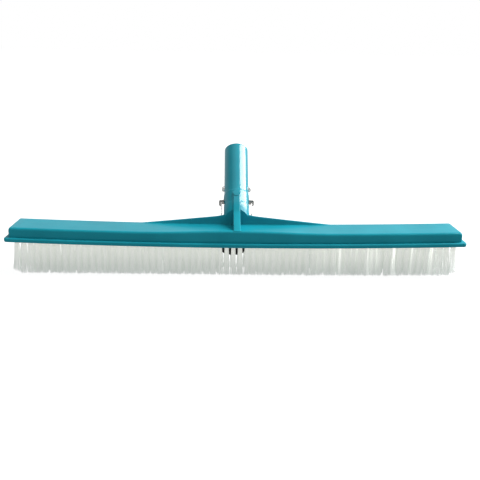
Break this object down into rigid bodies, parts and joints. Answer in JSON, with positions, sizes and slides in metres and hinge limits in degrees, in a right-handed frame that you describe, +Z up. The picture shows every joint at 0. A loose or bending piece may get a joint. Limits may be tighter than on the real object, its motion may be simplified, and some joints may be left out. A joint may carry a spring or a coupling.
{
  "type": "pool wall brush",
  "caption": "Long bowed pool wall brush with rows of nylon bristles, a moulded back with a central web, and a sloping pole spigot holding a sprung lock clip",
  "frame": {"origin": "on the surface that the bristle tips stand on, under the centre of the whole brush", "axes": "+X along the deck, +Y back towards the handle's mouth, +Z up from the bristle tips"},
  "size_m": [0.5, 0.1366, 0.1304],
  "materials": {
    "teal_plastic": "semi-gloss moulded plastic",
    "bristle_nylon": "translucent white nylon filament",
    "spring_steel": "stainless spring strip",
    "button_steel": "turned stainless steel",
    "screw_steel": "passivated stainless steel",
    "black_rubber": "matte moulded rubber"
  },
  "bodies": {
    "brush": {"back_shell": "teal_plastic", "tuft_block": "teal_plastic", "bristles_front": "bristle_nylon", "bristles_front_inner_left": "bristle_nylon", "bristles_front_inner_right": "bristle_nylon", "bristles_back_inner_left": "bristle_nylon", "bristles_back_inner_right": "bristle_nylon", "bristles_back": "bristle_nylon", "block_screw_inner_left": "screw_steel", "block_screw_inner_right": "screw_steel", "block_screw_outer_left": "screw_steel", "block_screw_outer_right": "screw_steel", "centre_screw": "screw_steel", "centre_bumper": "black_rubber", "clip_bow": "spring_steel"},
    "arm_left": {"clip_arm_left": "spring_steel", "lock_button_left": "button_steel"},
    "arm_right": {"clip_arm_right": "spring_steel", "lock_button_right": "button_steel"}
  },
  "joints": [
    {"name": "clip_left", "type": "hinge", "parent": "brush", "child": "arm_left", "pos_m": [-0.0045, 0.05094, 0.11275], "axis": [0, -0.6494, 0.7604], "range_deg": [0, 3.8], "stiffness_Nm_per_rad": 5, "springref_deg": -2.86},
    {"name": "clip_right", "type": "hinge", "parent": "brush", "child": "arm_right", "pos_m": [0.0045, 0.05094, 0.11275], "axis": [0, 0.6494, -0.7604], "range_deg": [0, 3.8], "stiffness_Nm_per_rad": 5, "springref_deg": -2.86}
  ]
}
